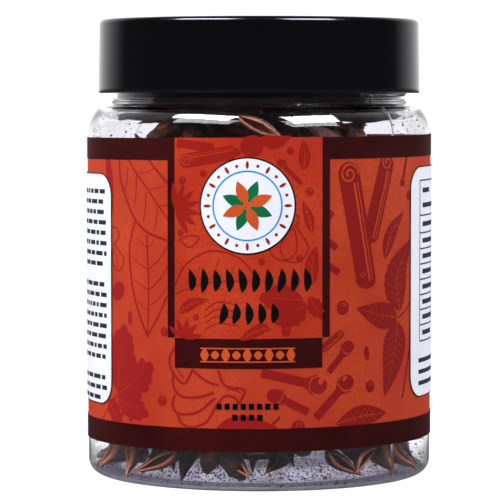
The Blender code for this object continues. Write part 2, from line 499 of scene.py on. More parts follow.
def smooth(points, count):
    """A curve through the points: Catmull-Rom pieces read at even steps."""
    p = np.asarray(points, dtype=float)
    if len(p) == 2:
        return p[:1] + (p[1:] - p[:1]) * np.linspace(0.0, 1.0, count)[:, None]
    p = np.concatenate([2 * p[:1] - p[1:2], p, 2 * p[-1:] - p[-2:-1]])
    t = np.linspace(0.0, len(p) - 3 - 1e-9, count)
    k = t.astype(int)
    f = (t - k)[:, None]
    a, b, c, d = p[k], p[k + 1], p[k + 2], p[k + 3]
    bend, twist = 2 * a - 5 * b + 4 * c - d, 3 * b - a - 3 * c + d
    return 0.5 * (2 * b + (c - a) * f + bend * f**2 + twist * f**3)


def across(path):
    """Unit directions square to a path."""
    step = np.gradient(path, axis=0)
    step /= np.linalg.norm(step, axis=1)[:, None] + 1e-9
    return np.stack([-step[:, 1], step[:, 0]], axis=1)


def stroke(points, width, taper=0.0, count=None):
    """A ribbon along a smooth line; taper thins it towards its end."""
    count = count or 6 * len(points) + 2
    path = smooth(points, count)
    share = np.linspace(0.0, 1.0, count)
    half = 0.5 * width * (1.0 - taper * share)
    side = across(path) * half[:, None]
    return np.stack([path - side, path, path + side], axis=1)


def leaf(points, width, fullness=0.8, teeth=0, depth=0.12, count=40):
    """A ribbon whose half width is a sine of the share along it, with teeth as a small saw."""
    path = smooth(points, count)
    share = np.linspace(0.0, 1.0, count)
    half = 0.5 * width * np.sin(np.pi * share**fullness) ** 0.9
    if teeth:
        half = half * (1.0 - depth * ((share * teeth) % 1.0))
    side = across(path) * half[:, None]
    return np.stack([path - side, path - 0.5 * side, path, path + 0.5 * side, path + side], axis=1)


# %% [markdown]
# ### The drawings
# The orange fields carry darker red drawings of spices: outlined leaves, garlic, cloves, cinnamon
# sticks, berries. They are drawn here as a printmaker cuts them, solid shapes in one colour
# and light veins on top, with places in millimetres from the label's middle line.

# %% Spice drawings
ink = Sheet(1, spread=9)
veins = Sheet(7, spread=3)


def berry(sheet, light, middle, size):
    """A round berry with a small light ring."""
    sheet.add(egg_shape(middle, size, 1.08 * size), closed=True)
    ring = egg_shape((middle[0] + 0.1 * size, middle[1] + 0.45 * size), 0.4 * size, 0.28 * size)
    light.add(ring[2:], closed=True)


def clove(sheet, light, head, tail, size):
    """A clove: round bud, two claws under it and a stalk of even width to the tail."""
    head, tail = np.array(head), np.array(tail)
    run = (tail - head) / np.linalg.norm(tail - head)
    side = np.array([-run[1], run[0]])
    sheet.add(egg_shape(head, size, 0.9 * size), closed=True)
    neck = head + run * size * 0.95
    sheet.add(stroke([neck, 0.5 * (neck + tail), tail], 1.0 * size))
    for turn in (-1.0, 1.0):
        point = head + side * turn * size * 1.15 + run * size * 0.35
        claw = [neck + run * size * 0.9, neck + side * turn * size * 0.7, point]
        sheet.add(stroke(claw, 0.45 * size, taper=0.8))
    under = head + run * size * 0.9
    light.add(stroke([under + side * 0.8 * size, head + run * size, under - side * 0.8 * size], 0.14 * size))


def cinnamon(sheet, light, top, bottom, width):
    """A rolled stick: a long bar, two lighter seams along it and a scroll at its upper end."""
    top, bottom = np.array(top), np.array(bottom)
    run = (bottom - top) / np.linalg.norm(bottom - top)
    side = np.array([-run[1], run[0]])
    sheet.add(stroke([top, bottom], width, count=24))
    sheet.add(egg_shape(top, 0.5 * width, 0.5 * width), closed=True)
    sheet.add(egg_shape(bottom, 0.5 * width, 0.3 * width), closed=True)
    for share, thick in ((0.16, 0.1), (0.32, 0.05)):
        shift = side * share * width
        light.add(stroke([top + shift + run * 0.4 * width, bottom + shift], thick * width, count=24))
    turn = np.linspace(0.0, 1.7 * TAU, 40)
    reach = width * (0.44 - 0.035 * turn)
    scroll = np.stack([reach * np.cos(turn), reach * np.sin(turn)], axis=1)
    light.add(stroke(top + scroll, 0.085 * width, count=80))


def veined_leaf(sheet, light, points, width, pairs=6, teeth=0, fullness=0.8):
    """A solid leaf with a light midrib and pairs of side veins."""
    sheet.add(leaf(points, width, fullness, teeth, count=max(40, 4 * teeth)))
    path = smooth(points, 40)
    light.add(stroke(path[1:36], 0.22, taper=0.5, count=40))
    normals = across(path)
    for k in range(pairs):
        i = int(5 + 26 * k / pairs)
        reach = 0.36 * width * np.sin(np.pi * (i / 39) ** fullness)
        for turn in (-1.0, 1.0):
            ahead = path[min(i + 4, 39)] - path[i]
            tip = path[i] + normals[i] * turn * reach + ahead * 1.1
            light.add(stroke([path[i], tip], 0.13, taper=0.6))


def lobed_leaf(sheet, light, base, tip, width, lobes=4):
    """A parsley leaf: a full blade with round lobes set along both of its edges."""
    base, tip = np.array(base), np.array(tip)
    run, normal = tip - base, across(np.array([base, tip]))[0]
    sheet.add(leaf([base, tip], width, 0.9))
    for k in range(lobes):
        share = 0.3 + 0.66 * k / lobes
        half = 0.42 * width * np.sin(np.pi * share**0.9)
        for turn in (-1.0, 1.0):
            middle = base + run * share + normal * turn * half
            sheet.add(egg_shape(middle, 0.2 * width, 0.15 * width, 90.0 * k), closed=True)
    sheet.add(egg_shape(base + run * 0.9, 0.16 * width, 0.2 * width), closed=True)
    light.add(stroke([base, base + run * 0.75], 0.18, taper=0.6))


def outlined_leaf(sheet, outline, rib, pairs, thick):
    """A leaf in line work: outline, midrib and side veins given as pairs of ends."""
    sheet.add(stroke(outline, thick, count=60))
    sheet.add(stroke(rib, 0.85 * thick, taper=0.3, count=30))
    for start, end in pairs:
        middle = 0.5 * (np.array(start) + np.array(end)) + np.array([0.25, -0.25])
        sheet.add(stroke([start, middle, end], 0.42 * thick, taper=0.35))


def garlic(sheet, middle, size, tilt=0.0, thick=0.5):
    """A bulb in line work: three bellied outlines that meet in a neck, turned by tilt degrees."""
    c, s = np.cos(np.radians(tilt)), np.sin(np.radians(tilt))
    lobes = [
        [(-0.1, 0.9), (-0.55, 0.45), (-1.0, -0.1), (-0.75, -0.8), (-0.2, -0.95), (0.1, -0.85)],
        [(0.1, 0.9), (0.55, 0.45), (1.0, -0.1), (0.75, -0.8), (0.2, -0.95), (-0.1, -0.85)],
        [(-0.05, 0.75), (-0.3, 0.2), (-0.42, -0.4), (0.0, -0.98)],
        [(0.05, 0.75), (0.3, 0.2), (0.42, -0.4), (0.0, -0.98)],
        [(-0.12, 0.85), (-0.2, 1.3), (0.18, 1.35), (0.12, 0.85)],
    ]
    for lobe in lobes:
        x, y = np.array(lobe).T
        turned = np.stack([middle[0] + size * (x * c - y * s), middle[1] + size * (x * s + y * c)], axis=1)
        sheet.add(stroke(turned, thick, count=30))


# Left field: two big outlined leaves, a vanilla pod, parsley, seeds and berries
outlined_leaf(
    ink,
    [(-33.8, 73.7), (-33.0, 68.9), (-29.0, 61.4), (-24.8, 57.7), (-18.8, 55.7)],
    [(-30.3, 73.7), (-27.5, 70.4), (-24.1, 66.9), (-18.8, 60.5)],
    [
        ((-26.8, 70.5), (-22.5, 71.7)), ((-23.8, 67.1), (-19.8, 68.0)), ((-21.0, 63.5), (-18.8, 63.9)),
        ((-27.7, 70.2), (-28.4, 62.9)), ((-24.8, 66.4), (-25.6, 59.7)), ((-21.6, 63.2), (-22.2, 58.3)),
        ((-30.7, 71.9), (-31.5, 66.6)),
    ],
    0.62,
)
ink.add(stroke([(-24.1, 73.7), (-21.3, 70.9), (-18.8, 68.5)], 0.6))
outlined_leaf(
    ink,
    [(-27.9, 60.2), (-29.8, 55.1), (-29.9, 50.1), (-28.7, 44.0), (-27.0, 39.4), (-24.3, 34.1)],
    [(-24.6, 57.0), (-24.1, 49.0), (-24.0, 44.4), (-24.3, 34.1)],
    [
        ((-24.3, 49.3), (-29.2, 51.8)), ((-24.1, 44.8), (-28.8, 47.0)), ((-24.6, 54.2), (-27.7, 56.2)),
        ((-24.3, 54.2), (-22.5, 55.8)), ((-23.8, 49.3), (-18.8, 54.3)), ((-23.6, 44.8), (-18.8, 49.8)),
        ((-24.1, 39.9), (-27.7, 42.3)), ((-23.6, 41.0), (-18.8, 45.6)),
    ],
    0.6,
)
ink.add(stroke([(-18.8, 43.6), (-21.3, 38.8), (-24.2, 34.6)], 0.55))
ink.add(leaf([(-38.9, 74.5), (-37.4, 68.0), (-36.1, 61.5)], 2.8, 0.6))
ink.add(stroke([(-36.8, 58.4), (-34.6, 58.1), (-33.8, 56.3), (-36.0, 54.4)], 0.4))
ink.add(stroke([(-36.1, 54.4), (-36.4, 50.4), (-33.8, 48.5), (-32.1, 51.3), (-35.6, 54.6)], 0.4))
ink.add(stroke([(-35.5, 53.6), (-34.6, 50.9), (-34.0, 49.4)], 0.25))
ink.add(egg_shape((-34.2, 44.0), 2.5, 1.9, 40.0), closed=True)
ink.add(egg_shape((-29.9, 38.2), 0.65, 1.6), closed=True)
lobed_leaf(ink, veins, (-34.6, 21.0), (-31.8, 36.4), 8.6, 5)
lobed_leaf(ink, veins, (-34.6, 20.2), (-22.6, 27.9), 7.6, 4)
lobed_leaf(ink, veins, (-34.4, 19.6), (-24.0, 16.6), 5.4, 3)
lobed_leaf(ink, veins, (-38.6, 19.2), (-32.5, 13.6), 4.2, 3)
ink.add(stroke([(-34.6, 20.4), (-38.0, 18.0), (-41.5, 14.4)], 0.5))
berry(ink, veins, (-19.6, 35.4), 1.0)
berry(ink, veins, (-20.2, 20.0), 1.15)

# Lower field: garlic on its side, a chilli, four cloves, berries and a broad leaf
outlined = [
    [(-16.6, 32.4), (-18.3, 29.5), (-17.4, 26.5), (-14.6, 24.1), (-12.4, 27.4)],
    [(-15.6, 31.5), (-16.6, 29.2), (-16.2, 27.2), (-14.6, 25.2)],
    [(-17.3, 26.5), (-17.2, 23.3), (-15.2, 21.2), (-11.0, 21.2), (-7.5, 22.3)],
    [(-16.9, 21.4), (-17.5, 19.3), (-16.0, 17.4), (-11.4, 17.8), (-7.2, 21.1)],
    [
        (-16.4, 17.6), (-15.2, 15.2), (-12.7, 14.5), (-9.3, 15.7),
        (-6.7, 19.7), (-4.9, 21.5), (-2.7, 21.1), (-1.9, 19.7),
    ],
    [(-1.9, 19.7), (-0.7, 22.9), (-4.9, 23.8), (-6.6, 27.2)],
    [(-12.4, 26.9), (-9.3, 24.8), (-6.4, 23.8)],
    [(-4.4, 23.0), (-2.6, 22.9), (-1.4, 22.2)],
]
for number, points in enumerate(outlined):
    ink.add(stroke(points, 0.34 if number in (1, 7) else 0.6, count=40))
ink.add(leaf([(-7.5, 13.0), (-3.7, 15.2), (1.3, 15.6), (6.9, 14.4)], 3.2, 0.8))
ink.add(stroke([(5.6, 15.2), (6.6, 16.2), (7.2, 17.0)], 0.6))
clove(ink, veins, (23.3, 31.9), (18.4, 26.4), 1.55)
clove(ink, veins, (16.0, 23.6), (3.1, 26.7), 2.1)
clove(ink, veins, (6.0, 21.6), (13.6, 17.8), 1.75)
clove(ink, veins, (22.9, 24.0), (15.4, 16.4), 1.95)
veins.add(egg_shape((16.6, 24.6), 0.9, 0.6, 70.0), closed=True)
veins.add(egg_shape((22.4, 24.9), 0.7, 0.45, 40.0), closed=True)
cinnamon(ink, veins, (21.4, 34.9), (17.0, 31.6), 1.9)
for place, size in (
    ((21.9, 40.6), 1.55), ((29.4, 22.7), 1.25), ((11.3, 14.3), 1.6), ((42.9, 64.9), 0.95), ((27.0, 47.0), 1.7)
):
    berry(ink, veins, place, size)
ink.add(egg_shape((28.4, 30.1), 0.75, 1.6, 5.0), closed=True)
veined_leaf(ink, veins, [(20.2, 14.8), (27.0, 16.2), (34.6, 16.4)], 4.9, 6, fullness=0.95)

# Right field: cinnamon, a smooth leaf, a sprig of toothed leaves and a clove
cinnamon(ink, veins, (34.6, 72.6), (29.4, 56.0), 4.6)
cinnamon(ink, veins, (23.5, 70.2), (28.3, 46.2), 5.5)
veined_leaf(ink, veins, [(33.8, 51.0), (36.0, 56.6), (40.8, 61.4)], 3.7, 5)
veined_leaf(ink, veins, [(38.2, 37.6), (32.0, 38.6), (25.4, 40.4)], 6.4, 5, teeth=13, fullness=0.7)
veined_leaf(ink, veins, [(38.2, 36.8), (37.2, 29.6), (33.8, 20.0)], 8.6, 7, teeth=15, fullness=0.75)
veined_leaf(ink, veins, [(39.2, 39.0), (38.0, 46.8), (43.6, 55.0)], 8.6, 6, teeth=13, fullness=0.8)
ink.add(stroke([(38.4, 37.4), (41.0, 38.6), (44.0, 41.0)], 0.5))
ink.add(stroke([(43.4, 30.0), (41.8, 24.0), (40.4, 19.2)], 0.6))
clove(ink, veins, (40.2, 67.8), (42.4, 74.6), 0.95)
for low, high in (((18.2, 60.6), (19.4, 62.0)), ((18.2, 55.6), (20.4, 53.8)), ((18.2, 50.2), (21.0, 48.4))):
    ink.add(stroke([low, high], 1.5))

# The back: the same kinds of drawing, further apart
for number, along in enumerate((-118.0, -107.0, 106.5, 117.0)):
    rise = 18.0 + 3.0 * (number % 2)
    veined_leaf(ink, veins, [(along - 3.0, rise), (along, rise + 8.0), (along + 1.0, rise + 16.0)], 6.0, 6)
    garlic(ink, (along, rise + 26.0), 4.2, 20.0 * (number - 1.5))
    berry(ink, veins, (along + 3.5, rise + 18.5), 1.2)
    clove(ink, veins, (along - 2.5, rise + 44.0), (along + 1.5, rise + 36.0), 1.4)

# %% [markdown]
# ### Fields
# Over the drawings lie the plain fields: maroon bands at the foot and the head, two bars that
# frame a redder middle panel, a maroon box, two white panels for facts and a round white badge.
# Names and lettering are left out: rows of small boat shapes, like the pods' own arms, stand in
# their places, and plain bars stand for the small print.

# %% Fields
PANEL_HALF = 16.85
BAR_WIDE = 1.8
BOX_LOW, BOX_HIGH = 27.6, 34.2
half_wrap = 0.5 * LABEL_WRAP * FLAT_RADIUS

film = Sheet(0)
film.add(block(-half_wrap, half_wrap, LABEL_LOW, LABEL_HIGH))

maroon = Sheet(10)
maroon.add(block(-half_wrap, half_wrap, LABEL_LOW, LABEL_LOW + LOW_BAND))
maroon.add(block(-half_wrap, -PANEL_HALF, LABEL_HIGH - BAND, LABEL_HIGH))
maroon.add(block(PANEL_HALF, half_wrap, LABEL_HIGH - BAND, LABEL_HIGH))
for side in (-1.0, 1.0):
    ends = sorted((side * PANEL_HALF, side * (PANEL_HALF + BAR_WIDE)))
    maroon.add(block(*ends, BOX_HIGH + 0.1, LABEL_HIGH - BAND + 0.02))
maroon.add(block(-PANEL_HALF, PANEL_HALF, BOX_LOW, BOX_HIGH))

panel = Sheet(9)
panel.add(block(-PANEL_HALF, PANEL_HALF, BOX_HIGH, LABEL_HIGH))

# Middle panel's drawings, in a red close to its ground
faint = Sheet(11, spread=6)
faint_veins = Sheet(15, spread=3)


def leaf_fan(foot, reach, width, start, step, count):
    """Small leaves spread from one foot, step degrees apart."""
    for number in range(count):
        swing = np.radians(start + step * number)
        tip = (foot[0] + reach * np.cos(swing), foot[1] + reach * np.sin(swing))
        faint.add(leaf([foot, tip], width, 0.9))


cinnamon(faint, faint_veins, (-13.9, 73.4), (-3.0, 75.3), 3.2)
faint.add(stroke([(-16.2, 77.4), (-12.0, 76.9), (-7.5, 76.2)], 2.0))
faint.add(egg_shape((1.0, 76.6), 2.6, 2.4), closed=True)
faint.add(leaf([(3.0, 78.6), (6.0, 77.4), (9.8, 78.8)], 3.0))
veined_leaf(faint, faint_veins, [(12.5, 71.2), (12.7, 74.6), (12.4, 77.9)], 2.7, 4)
veined_leaf(faint, faint_veins, [(14.4, 57.4), (13.6, 61.0), (12.2, 64.6)], 2.3, 4)
clove(faint, faint_veins, (7.4, 72.9), (12.0, 68.2), 1.0)
leaf_fan((-16.6, 62.6), 6.2, 1.5, -60.0, 26.0, 7)
for place, size in (
    ((-9.9, 70.6), 0.75), ((-14.9, 69.1), 0.9), ((-15.4, 57.5), 0.75), ((9.5, 75.5), 0.8),
    ((13.9, 66.5), 0.9), ((3.2, 51.2), 0.75), ((8.6, 35.8), 1.1), ((-11.6, 38.9), 0.7), ((11.6, 51.8), 0.8)
):
    berry(faint, faint_veins, place, size)
faint.add(stroke([(-15.6, 56.0), (-13.6, 56.9), (-10.9, 56.6), (-13.2, 54.3), (-15.6, 56.0)], 0.3, count=40))
outlined_leaf(
    faint,
    [(-16.8, 46.0), (-14.0, 50.6), (-8.0, 53.6), (-1.5, 51.8), (2.4, 47.0)],
    [(-16.8, 44.0), (-9.0, 46.5), (2.4, 47.0)],
    [((-12.4, 45.8), (-10.4, 51.6)), ((-8.4, 46.7), (-6.2, 52.6)), ((-4.6, 46.9), (-2.6, 51.4))],
    0.35,
)
garlic(faint, (9.4, 55.4), 4.4, -12.0, 0.3)
veined_leaf(faint, faint_veins, [(14.6, 46.0), (14.4, 50.4), (15.4, 54.6)], 3.2, 4)
veined_leaf(faint, faint_veins, [(-15.6, 39.8), (-12.7, 41.9), (-8.6, 42.9)], 2.5, 4)
leaf_fan((-14.6, 34.2), 4.6, 1.3, 10.0, 34.0, 5)
for number in range(4):
    furrow = [(-9.6, 40.4 - 1.4 * number), (-6.4, 42.4 - 1.6 * number), (-2.0, 41.6 - 1.5 * number)]
    faint.add(stroke(furrow, 0.28))
lobed_leaf(faint, faint_veins, (12.6, 42.6), (2.6, 43.4), 5.6, 4)
lobed_leaf(faint, faint_veins, (13.4, 41.6), (6.0, 37.8), 5.2, 4)
lobed_leaf(faint, faint_veins, (13.8, 43.4), (16.6, 38.4), 3.2, 3)
veined_leaf(faint, faint_veins, [(-1.6, 33.9), (3.0, 36.4), (5.0, 36.0)], 2.6, 3)

# %% Badge and ornaments
BADGE = np.array([0.0, 63.5])
EDGE_RADIUS, BADGE_RADIUS, DASH_RADIUS, RING_RADIUS = 10.75, 10.4, 9.0, 7.6
badge_edge = Sheet(17)
badge_edge.add(egg_shape(BADGE, EDGE_RADIUS, EDGE_RADIUS, count=96), closed=True)
white = Sheet(18)
white.add(egg_shape(BADGE, BADGE_RADIUS, BADGE_RADIUS, count=96), closed=True)
green = Sheet(19, spread=2)
blue = Sheet(19)
ring = np.linspace(0.0, TAU, 97)
blue.add(stroke(BADGE + RING_RADIUS * np.stack([np.cos(ring), np.sin(ring)], axis=1), 0.36, count=192))
red = Sheet(19, spread=2)
for number in range(24):
    swing = TAU * number / 24
    spot = BADGE + DASH_RADIUS * np.array([np.cos(swing), np.sin(swing)])
    wide, tall = (0.36, 0.36) if number % 2 else (0.85, 0.34)
    red.add(egg_shape(spot, wide, tall, np.degrees(swing)), closed=True)
orange_print = Sheet(20, spread=2)
for number in range(8):
    swing = TAU * (number + 0.5) / 8
    aim = np.array([np.cos(swing), np.sin(swing)])
    sheet = green if number % 2 else orange_print
    sheet.add(leaf([BADGE + 0.7 * aim, BADGE + 5.9 * aim], 2.5, 0.8))
orange_print.add(egg_shape(BADGE, 0.9, 0.9), closed=True)

black = Sheet(18, spread=3)


def boat_row(sheet, middle, half, height, count, seed):
    """A row of boat-shaped marks, each leaning its own way."""
    lean = np.random.default_rng(seed)
    for number in range(count):
        along = middle[0] - half + 2.0 * half * (number + 0.5) / count
        tip = 0.5 * height * (0.86 + 0.14 * lean.random())
        shift = 0.9 * (lean.random() - 0.5)
        boat = [(along - shift, middle[1] - tip), (along + 0.5, middle[1]), (along + shift, middle[1] + tip)]
        sheet.add(leaf(boat, 1.75, 0.9))


boat_row(black, (0.0, 47.1), 14.4, 5.6, 10, 3)
boat_row(black, (0.0, 39.85), 7.0, 5.1, 5, 8)
for low, high, half in ((18.6, 19.9, 7.2), (16.2, 17.5, 3.7)):
    marks = int(half / 0.9)
    for number in range(marks):
        along = -half + 2.0 * half * (number + 0.5) / marks
        black.add(block(along - 0.55, along + 0.55, low, high))

for number in range(9):
    along = -9.6 + 2.4 * number
    orange_print.add(leaf([(along - 1.0, 30.6), (along + 1.0, 30.6)], 1.9 if number % 2 else 2.9, 1.0))
orange_print.add(block(-10.6, 10.6, 31.9, 32.2))
orange_print.add(block(-10.6, 10.6, 28.95, 29.25))

# %% White panels
outline = Sheet(17)
facts = Sheet(18)
PANEL_CORNER = 5.0
for left, right, low, high in ((-96.0, -36.9, 18.1, 70.2), (43.8, 100.0, 18.9, 71.1)):
    outline.add(block(left - 0.25, right + 0.25, low - 0.25, high + 0.25, PANEL_CORNER + 0.25))
    facts.add(block(left, right, low, high, PANEL_CORNER))

PRINT_TOP, LINE_STEP, LINE_COUNT = 66.3, 2.35, 21
EMPTY_LINES, LAST_LINES = (8, 17), (7, 16, 20)
print_rng = np.random.default_rng(12)
small_print = Sheet(19)
for number in range(LINE_COUNT):
    up = PRINT_TOP - LINE_STEP * number
    if number in EMPTY_LINES:
        continue
    is_last = number in LAST_LINES
    right = -38.9 - (2.0 * print_rng.random() if is_last else 0.0)
    start = -94.0 + (20.0 * print_rng.random() if is_last else 0.0)
    while start < right - 1.0:
        wide = min(1.4 + 3.2 * print_rng.random(), right - start)
        small_print.add(block(start, start + wide, up - 0.5, up + 0.5))
        start += wide + 0.75

TABLE_LEFT, TABLE_RIGHT = 48.6, 95.0
rows = (68.1, 60.1, 56.1, 52.5, 49.0, 45.5, 42.0, 38.6, 35.1, 31.4)
for up in rows:
    small_print.add(block(TABLE_LEFT, TABLE_RIGHT, up - 0.17, up + 0.17))
for along in (TABLE_LEFT, 78.0, TABLE_RIGHT):
    small_print.add(block(along - 0.2, along + 0.2, rows[-1], rows[0]))
for high, low in zip(rows[:-1], rows[1:]):
    middle = 0.5 * (high + low)
    lines = (middle + 1.7, middle - 1.7) if high - low > 5.0 else (middle,)
    for up in lines:
        name_end, value_end = 56.0 + 12.0 * print_rng.random(), 85.0 + 5.0 * print_rng.random()
        for start, end in ((50.4, name_end), (80.0, value_end)):
            small_print.add(block(start, end, up - 0.55, up + 0.55))
for number in range(3):
    up = 27.0 - 2.6 * number
    small_print.add(block(48.0, 92.0 - 9.0 * number, up - 0.5, up + 0.5))


# %% [markdown]
# ### Inks
# Printed film is smooth with a faint grain from the press. Each ink starts from its plain colour
# and gets two noises: a fine one for the press's grain and a broad one for uneven ink.

# %% Ink finishes
def ink_finish(name, colour, deeper, grain=0.35, roughness=0.5, right=None):
    """A print colour that wanders to a deeper one, broadly and in a fine grain.

    With right given, it also turns to that colour towards the right: painted shade of the less lit right
    side.
    """
    material, nodes, links, shader = finish(name, roughness=roughness, Specular_IOR_Level=0.03)
    wide = mask(nodes, links, noise(nodes, links, 55.0, detail=2.0), 0.35, 0.7)
    fine = mask(nodes, links, noise(nodes, links, 1800.0, detail=1.0), 0.4, 0.62, grain)
    first = blend(nodes, links, wide, linear(*colour), linear(*deeper))
    if right:
        # Painted shade: darker towards the right along Object X.
        share = slope(nodes, links, axis_of(nodes, links, "Object", "X"), -0.02, 0.025)
        first = blend(nodes, links, share, first, linear(*right))
    links.new(blend(nodes, links, fine, first, linear(*deeper)), shader.inputs["Base Color"])
    return material


orange_ink = ink_finish("orange_ink", (194, 74, 42), (178, 54, 34), 0.6)
# The red ink is painted darker towards the right: painted shade.
red_ink = ink_finish("red_ink", (164, 34, 34), (150, 28, 29), 0.3, right=(134, 26, 26))
panel_ink = ink_finish("panel_ink", (192, 66, 37), (172, 42, 27), 0.6)
faint_ink = ink_finish("faint_ink", (156, 32, 24), (144, 26, 22), 0.2)
maroon_ink = ink_finish("maroon_ink", (62, 14, 15), (46, 8, 10), 0.3)
white_ink = ink_finish("white_ink", (238, 241, 250), (232, 235, 246), 0.1)
blue_ink = ink_finish("blue_ink", (36, 146, 214), (30, 136, 205), 0.1)
green_ink = ink_finish("green_ink", (16, 112, 66), (10, 98, 56), 0.1)
black_ink = ink_finish("black_ink", (12, 11, 14), (8, 8, 10), 0.1)
fact_ink = ink_finish("fact_ink", (46, 48, 66), (36, 38, 54), 0.1)
row_ink = ink_finish("row_ink", (206, 88, 40), (196, 78, 36), 0.1)

label = film.build("label_film", orange_ink)
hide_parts("label")
for sheet, name, material in (
    (ink, "label_spice_drawings", red_ink),
    (veins, "label_light_veins", orange_ink),
    (maroon, "label_maroon_fields", maroon_ink),
    (panel, "label_middle_panel", panel_ink),
    (faint, "label_middle_drawings", faint_ink),
    (faint_veins, "label_middle_veins", panel_ink),
    (badge_edge, "label_badge_edge", black_ink),
    (white, "label_badge", white_ink),
    (green, "label_green_petals", green_ink),
    (blue, "label_blue_ring", blue_ink),
    (red, "label_red_dashes", red_ink),
    (orange_print, "label_orange_marks", row_ink),
    (black, "label_black_marks", black_ink),
    (outline, "label_panel_edges", black_ink),
    (facts, "label_white_panels", white_ink),
    (small_print, "label_fact_bars", fact_ink),
):
    sheet.build(name, material)


# %% [markdown]
# ## Pods: how they lie
# Eighty dried stars were poured into the jar and settled. Dropping them one by one with
# rigid bodies would be slow, so each star is a rigid cluster of balls: the balls fall a little,
# push each other and the wall apart, and then each cluster is set back to its rigid shape by
# the turn that fits it best. A dark core takes the middle of the heap, which nobody sees.

# %% Settle the heap
POURED = 80
SETTLE_STEPS = 680
FALL, PUSH, SLOWING = 0.03, 0.4, 0.9
POD_REACH, NEAR = 34.0, 2.5
POD_ARMS = 8
CORE_RADIUS = 13.0
CORE_LOW, CORE_HIGH = 18.0, 60.0
DOME, DOME_LOW = 7.0, 70.0
HEAP_TOP = 84.0


def wall_radius(height):
    """Radius of the jar's inner face at a height: round heel, straight body, round shoulder."""
    bend = HEEL_RADIUS - WALL
    below = np.clip(HEEL_RADIUS - height, 0.0, bend)
    heel = BODY_RADIUS - HEEL_RADIUS + np.sqrt(np.clip(bend**2 - below**2, 0.0, None))
    rise = np.clip((height - BODY_TOP) / (LEDGE_HEIGHT - BODY_TOP), 0.0, 1.0)
    shoulder = LEDGE_RADIUS + (BODY_RADIUS - LEDGE_RADIUS) * np.sqrt(1.0 - rise**2) - WALL
    upper = np.where(height < LEDGE_HEIGHT, shoulder, NECK_RADIUS - WALL)
    body = np.where(height < BODY_TOP, BODY_RADIUS - WALL, upper)
    return np.where(height < HEEL_RADIUS, heel, body)


def heap_radius(height):
    """Radius open to the heap: the wall's, drawn in to a dome under the shoulder."""
    return wall_radius(height) - DOME * np.clip((height - DOME_LOW) / 12.0, 0.0, 1.0)


def floor_height(radius):
    """Height of the inner face of the pushed-up base at a radius."""
    rise = np.clip((FOOT_INNER - radius) / (FOOT_INNER - PUSH_UP_RADIUS), 0.0, 1.0)
    return WALL + PUSH_UP * np.sqrt(1.0 - (1.0 - rise) ** 2)


def pod_balls():
    """Balls along the arms of one star, three to an arm, and one in the middle."""
    turn = np.arange(POD_ARMS) * TAU / POD_ARMS
    rings = [(4.6, 2.7, -0.6), (8.4, 2.6, -0.2), (11.6, 1.6, 0.6)]
    places = [np.array([[0.0, 0.0, -0.8]])]
    sizes = [np.array([2.8])]
    for reach, size, height in rings:
        level = np.full(POD_ARMS, height)
        places.append(np.stack([reach * np.cos(turn), reach * np.sin(turn), level], axis=1))
        sizes.append(np.full(POD_ARMS, size))
    return np.concatenate(places), np.concatenate(sizes)


def random_turns(rng, count):
    """Rotation matrices from random unit quaternions."""
    q = rng.normal(size=(count, 4))
    w, x, y, z = (q / np.linalg.norm(q, axis=1)[:, None]).T
    rows = [
        1 - 2 * (y * y + z * z), 2 * (x * y - z * w), 2 * (x * z + y * w),
        2 * (x * y + z * w), 1 - 2 * (x * x + z * z), 2 * (y * z - x * w),
        2 * (x * z - y * w), 2 * (y * z + x * w), 1 - 2 * (x * x + y * y),
    ]
    return np.stack(rows, axis=1).reshape(count, 3, 3)


def close_pairs(balls, sizes, per_pod):
    """Numbers of near balls of different pods, pair by pair, and how far apart each pair belongs."""
    middles = balls.mean(axis=1)
    gaps = np.linalg.norm(middles[:, None] - middles[None], axis=2)
    one, other = np.where(np.triu(gaps < POD_REACH, 1))
    reach = np.arange(per_pod)
    first = np.repeat(one[:, None] * per_pod + reach, per_pod, axis=1).ravel()
    second = np.tile(other[:, None] * per_pod + reach, (1, per_pod)).ravel()
    flat = balls.reshape(-1, 3)
    belong = sizes[first] + sizes[second]
    near = np.linalg.norm(flat[first] - flat[second], axis=1) < belong + NEAR
    return first[near], second[near], belong[near]


